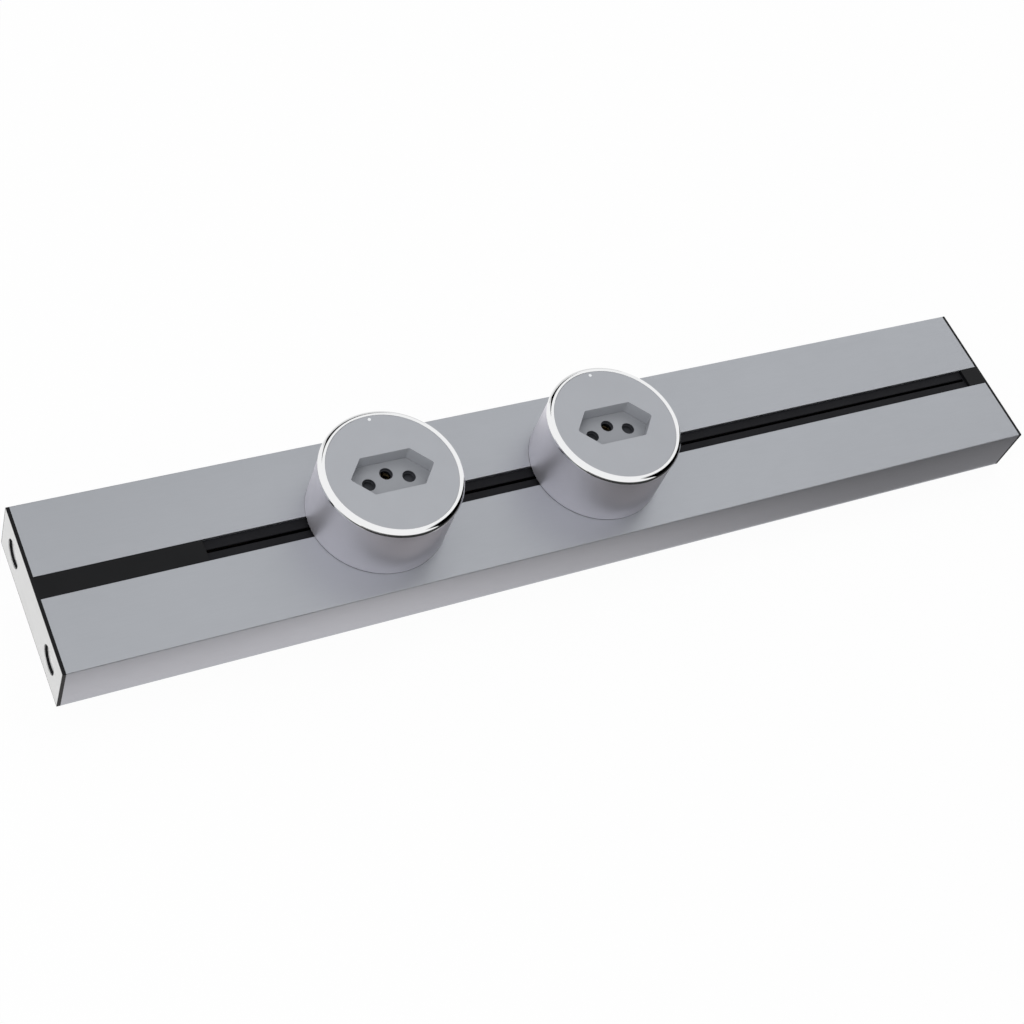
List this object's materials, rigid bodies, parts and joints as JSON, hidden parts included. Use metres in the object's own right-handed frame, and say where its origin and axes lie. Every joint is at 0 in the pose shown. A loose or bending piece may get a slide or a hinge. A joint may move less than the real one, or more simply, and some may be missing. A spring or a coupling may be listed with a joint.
{
  "type": "power track socket",
  "caption": "Surface power track: a flat aluminium channel with a slotted black strip, and round twist-in socket adaptors that slide along it, each with a hexagonal recess for round pins.",
  "frame": {"origin": "middle of the mounting face", "axes": "+X along the track to the end away from the terminals, +Y to the back edge (up on a wall), +Z out of the mounting face"},
  "size_m": [0.503, 0.08, 0.0592],
  "materials": {
    "anodised_aluminium": "matte blue-grey anodised",
    "satin_metal": "satin turned metal",
    "polished_chrome": "polished",
    "fascia_silver": "light satin",
    "face_grey": "fine matte moulding",
    "black_plastic": "satin black moulding",
    "black_rubber": "soft matte black",
    "copper": "drawn copper",
    "brass": "turned and pressed brass",
    "steel": "zinc-plated steel",
    "insulator_white": "off-white moulding",
    "light_lens": "clear white light pipe",
    "board_green": "coated circuit board"
  },
  "bodies": {
    "track": {"track_profile": "anodised_aluminium", "carrier_front": "black_plastic", "carrier_back": "black_plastic", "bar_holder_front": "black_plastic", "bar_holder_back": "black_plastic", "slot_rail_front": "black_plastic", "slot_rail_back": "black_plastic", "earth_rail": "black_plastic", "busbar_live": "copper", "busbar_neutral": "copper", "busbar_earth": "copper", "lip_front": "black_rubber", "lip_back": "black_rubber", "blank_cover_left": "black_plastic", "blank_cover_right": "black_plastic", "end_cap_left": "black_plastic", "end_cap_right": "black_plastic", "end_plate_left": "fascia_silver", "end_plate_right": "fascia_silver", "end_cap_screws": "steel", "screw_plugs": "fascia_silver", "terminal_block": "insulator_white", "terminal_clamps": "brass", "terminal_screws": "steel", "cable_grommet": "black_rubber"},
    "foot_a": {"glide_foot_a": "black_plastic"},
    "adaptor_a": {"adaptor_body_a": "satin_metal", "trim_gasket_a": "black_rubber", "chrome_ring_a": "polished_chrome", "face_plate_a": "face_grey", "indicator_lens_a": "light_lens", "indicator_board_a": "board_green", "base_plate_a": "black_plastic", "housing_screws_a": "steel", "contact_holder_a": "black_plastic", "socket_contacts_a": "brass", "shutter_spring_a": "steel", "contact_post_a": "black_plastic", "contact_blades_a": "copper", "earth_plunger_a": "copper"},
    "shutter_a": {"shutter_a": "black_plastic"},
    "foot_b": {"glide_foot_b": "black_plastic"},
    "adaptor_b": {"adaptor_body_b": "satin_metal", "trim_gasket_b": "black_rubber", "chrome_ring_b": "polished_chrome", "face_plate_b": "face_grey", "indicator_lens_b": "light_lens", "indicator_board_b": "board_green", "base_plate_b": "black_plastic", "housing_screws_b": "steel", "contact_holder_b": "black_plastic", "socket_contacts_b": "brass", "shutter_spring_b": "steel", "contact_post_b": "black_plastic", "contact_blades_b": "copper", "earth_plunger_b": "copper"},
    "shutter_b": {"shutter_b": "black_plastic"}
  },
  "joints": [
    {"name": "slide_a", "type": "slide", "parent": "track", "child": "foot_a", "axis": [1, 0, 0], "range_m": [-0.0575, 0.0225], "deforming": ["lip_front", "lip_back"]},
    {"name": "twist_a", "type": "hinge", "parent": "foot_a", "child": "adaptor_a", "pos_m": [-0.101, 0, 0.0284], "axis": [0, 0, 1], "range_deg": [0, 90]},
    {"name": "shutter_a_slide", "type": "slide", "parent": "adaptor_a", "child": "shutter_a", "axis": [0, -1, 0], "range_m": [0, 0.0062], "stiffness_N_per_m": 60, "springref_m": -0.003, "deforming": ["shutter_spring_a"]},
    {"name": "slide_b", "type": "slide", "parent": "track", "child": "foot_b", "axis": [1, 0, 0], "range_m": [-0.0225, 0.2073], "deforming": ["lip_front", "lip_back"]},
    {"name": "twist_b", "type": "hinge", "parent": "foot_b", "child": "adaptor_b", "pos_m": [0.0105, 0, 0.0284], "axis": [0, 0, 1], "range_deg": [0, 90]},
    {"name": "shutter_b_slide", "type": "slide", "parent": "adaptor_b", "child": "shutter_b", "axis": [0, -1, 0], "range_m": [0, 0.0062], "stiffness_N_per_m": 60, "springref_m": -0.003, "deforming": ["shutter_spring_b"]}
  ]
}
